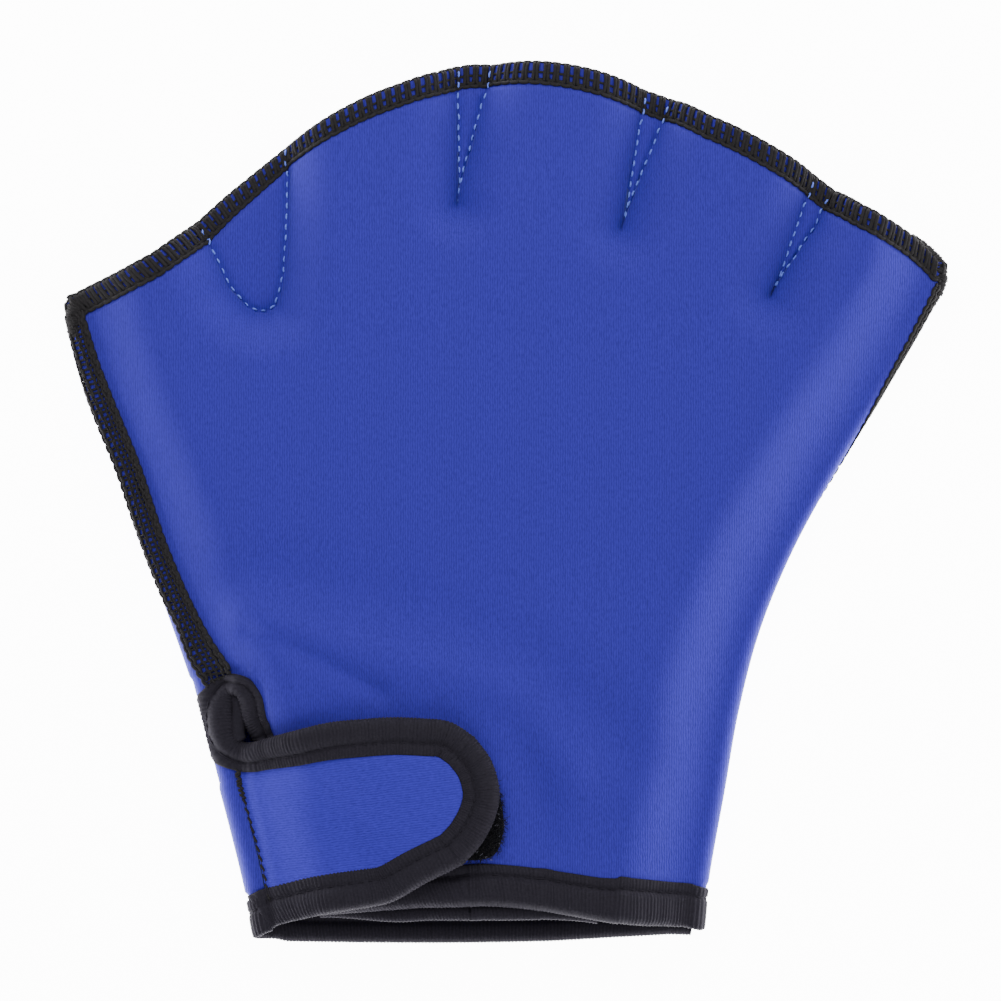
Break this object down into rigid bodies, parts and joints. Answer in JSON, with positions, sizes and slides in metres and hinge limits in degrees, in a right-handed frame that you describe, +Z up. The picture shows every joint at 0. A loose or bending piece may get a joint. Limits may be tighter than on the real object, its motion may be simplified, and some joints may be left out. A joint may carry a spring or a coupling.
{
  "type": "webbed swim glove",
  "caption": "Fingerless webbed swim glove of soft blue neoprene with open finger mouths, stitched webs, a bound wrist slit and a wrap-round wrist strap, lying flat",
  "frame": {"origin": "centre of the bounding box, on the resting surface under the back panel", "axes": "+Z up through the glove's thickness, +Y from the wrist to the fingers, +X to the little finger side"},
  "size_m": [0.2028, 0.1994, 0.021],
  "materials": {
    "blue_neoprene": "royal blue knitted jersey face on 2 mm foam rubber, matt with a faint sheen",
    "black_tape": "black ribbed woven edge tape, soft sheen",
    "black_thread": "black polyester sewing thread in overlock and flatlock stitches",
    "black_pile": "black brushed loop pile, matt and fuzzy"
  },
  "bodies": {
    "root": {"back_panel": "blue_neoprene", "front_panel": "blue_neoprene", "wrist_strap": "blue_neoprene", "finger_edge_overlock_back": "black_thread", "finger_edge_overlock_front": "black_thread", "thumb_side_seam": "black_thread", "little_finger_side_seam": "black_thread", "wrist_binding_back": "black_tape", "wrist_binding_front": "black_tape", "slit_binding": "black_tape", "strap_binding": "black_tape", "closure_patch": "black_pile"}
  },
  "joints": []
}
